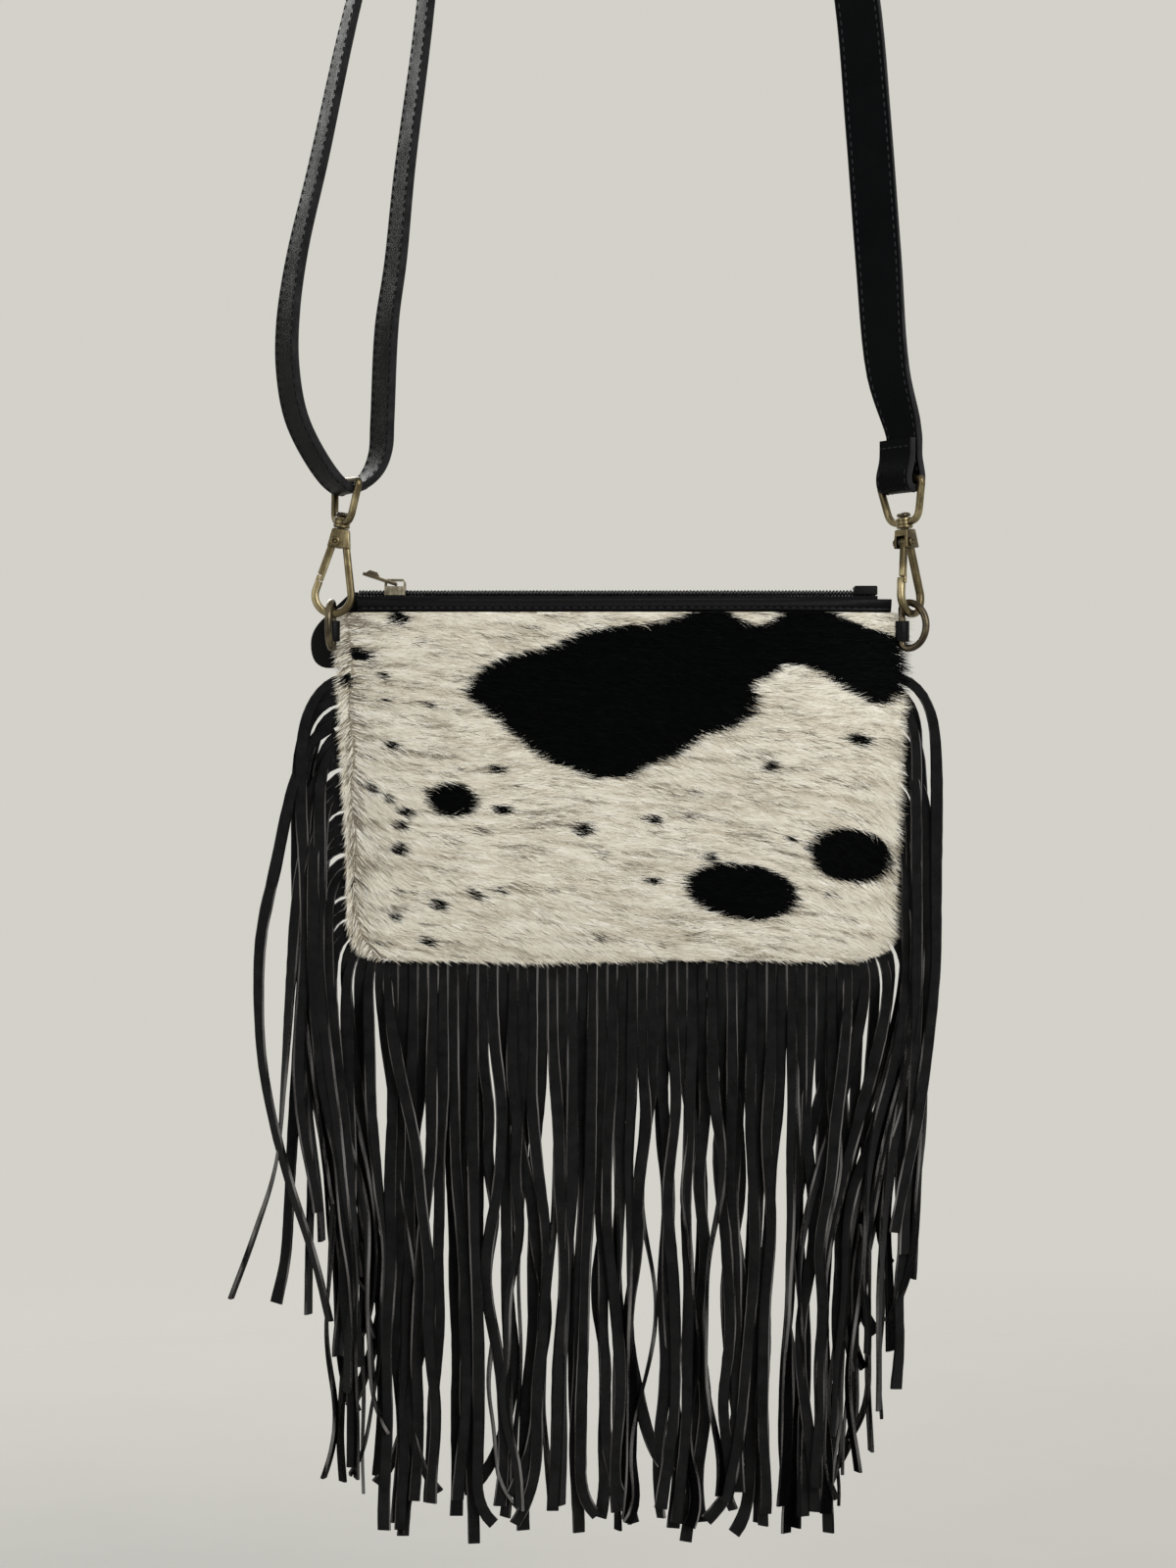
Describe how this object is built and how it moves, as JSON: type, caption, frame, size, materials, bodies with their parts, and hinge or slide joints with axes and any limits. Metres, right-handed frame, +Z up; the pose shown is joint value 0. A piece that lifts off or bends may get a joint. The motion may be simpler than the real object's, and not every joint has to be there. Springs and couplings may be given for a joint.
{
  "type": "fringed hide pouch",
  "caption": "Zip pouch with a hair-on hide front, leather fringe along its sides and bottom, and a crossbody strap on swivel snap hooks.",
  "frame": {"origin": "underside of the strap at its highest point, where it hangs from a peg or a shoulder", "axes": "+Z up, +X to the viewer's right, -Y out of the pouch's front"},
  "size_m": [0.2942, 0.0406, 0.8955],
  "materials": {
    "hide": "hair-on, cream with black patches",
    "leather": "black, smooth grain",
    "fringe": "black grain one side, charcoal flesh the other",
    "cloth": "plain woven lining",
    "tape": "woven zip tape",
    "nylon": "black coil",
    "brass": "antique, dark in the recesses",
    "steel": "spring wire"
  },
  "bodies": {
    "strap_set": {"strap": "leather", "strap_slider": "brass", "left_swivel_eye": "brass", "right_swivel_eye": "brass"},
    "left_snap": {"left_hook": "brass", "left_swivel_post": "brass", "left_gate_rivet": "brass", "left_gate_spring": "steel"},
    "left_lever": {"left_gate": "brass"},
    "right_snap": {"right_hook": "brass", "right_swivel_post": "brass", "right_gate_rivet": "brass", "right_gate_spring": "steel"},
    "right_lever": {"right_gate": "brass"},
    "pouch": {"front_panel": "hide", "back_panel": "leather", "lining": "cloth", "top_band_front": "leather", "top_band_back": "leather", "zip_tape_front": "tape", "zip_tape_back": "tape", "zip_coil_front": "nylon", "zip_coil_back": "nylon", "zip_end_tab": "leather", "zip_tail_tab": "leather", "fringe_left": "fringe", "fringe_bottom": "fringe", "fringe_right": "fringe", "left_ring_tab": "leather", "right_ring_tab": "leather"},
    "left_d_ring": {"left_ring": "brass"},
    "right_d_ring": {"right_ring": "brass"},
    "zip_runner": {"zip_slider": "brass"},
    "pull_tab": {"zip_pull": "brass"}
  },
  "joints": [
    {"name": "left_hook_swivel", "type": "hinge", "parent": "strap_set", "child": "left_snap", "pos_m": [-0.11072, -0.00647, -0.46089], "axis": [0.1219, 0, 0.9925], "range_deg": [-25, 0]},
    {"name": "left_gate_open", "type": "hinge", "parent": "left_snap", "child": "left_lever", "pos_m": [-0.11546, -0.00647, -0.48568], "axis": [0, -1, 0], "range_deg": [0, 22], "stiffness_Nm_per_rad": 0.05, "springref_deg": -20.05},
    {"name": "right_hook_swivel", "type": "hinge", "parent": "strap_set", "child": "right_snap", "pos_m": [0.11622, -0.0039, -0.46069], "axis": [-0.0872, 0, 0.9962], "range_deg": [-20, 20]},
    {"name": "right_gate_open", "type": "hinge", "parent": "right_snap", "child": "right_lever", "pos_m": [0.11738, -0.00523, -0.48587], "axis": [0.785, -0.6157, 0.0687], "range_deg": [0, 22], "stiffness_Nm_per_rad": 0.05, "springref_deg": -20.05},
    {"name": "bag_swing", "type": "hinge", "parent": "strap_set", "child": "pouch", "pos_m": [-0.11737, -0.00647, -0.51288], "axis": [-0.9999, -0.0108, 0], "range_deg": [0, 32]},
    {"name": "left_ring_turn", "type": "hinge", "parent": "pouch", "child": "left_d_ring", "pos_m": [-0.1169, -0.002, -0.5198], "axis": [0, 0, 1], "range_deg": [-6, 15]},
    {"name": "right_ring_turn", "type": "hinge", "parent": "pouch", "child": "right_d_ring", "pos_m": [0.1169, -0.002, -0.5198], "axis": [0, 0, 1], "range_deg": [-15, 6]},
    {"name": "zip_run", "type": "slide", "parent": "pouch", "child": "zip_runner", "axis": [1, 0, 0], "range_m": [0, 0.18]},
    {"name": "zip_pull_flip", "type": "hinge", "parent": "zip_runner", "child": "pull_tab", "pos_m": [-0.0914, 0, -0.5026], "axis": [0, 1, 0], "range_deg": [0, 144]}
  ]
}
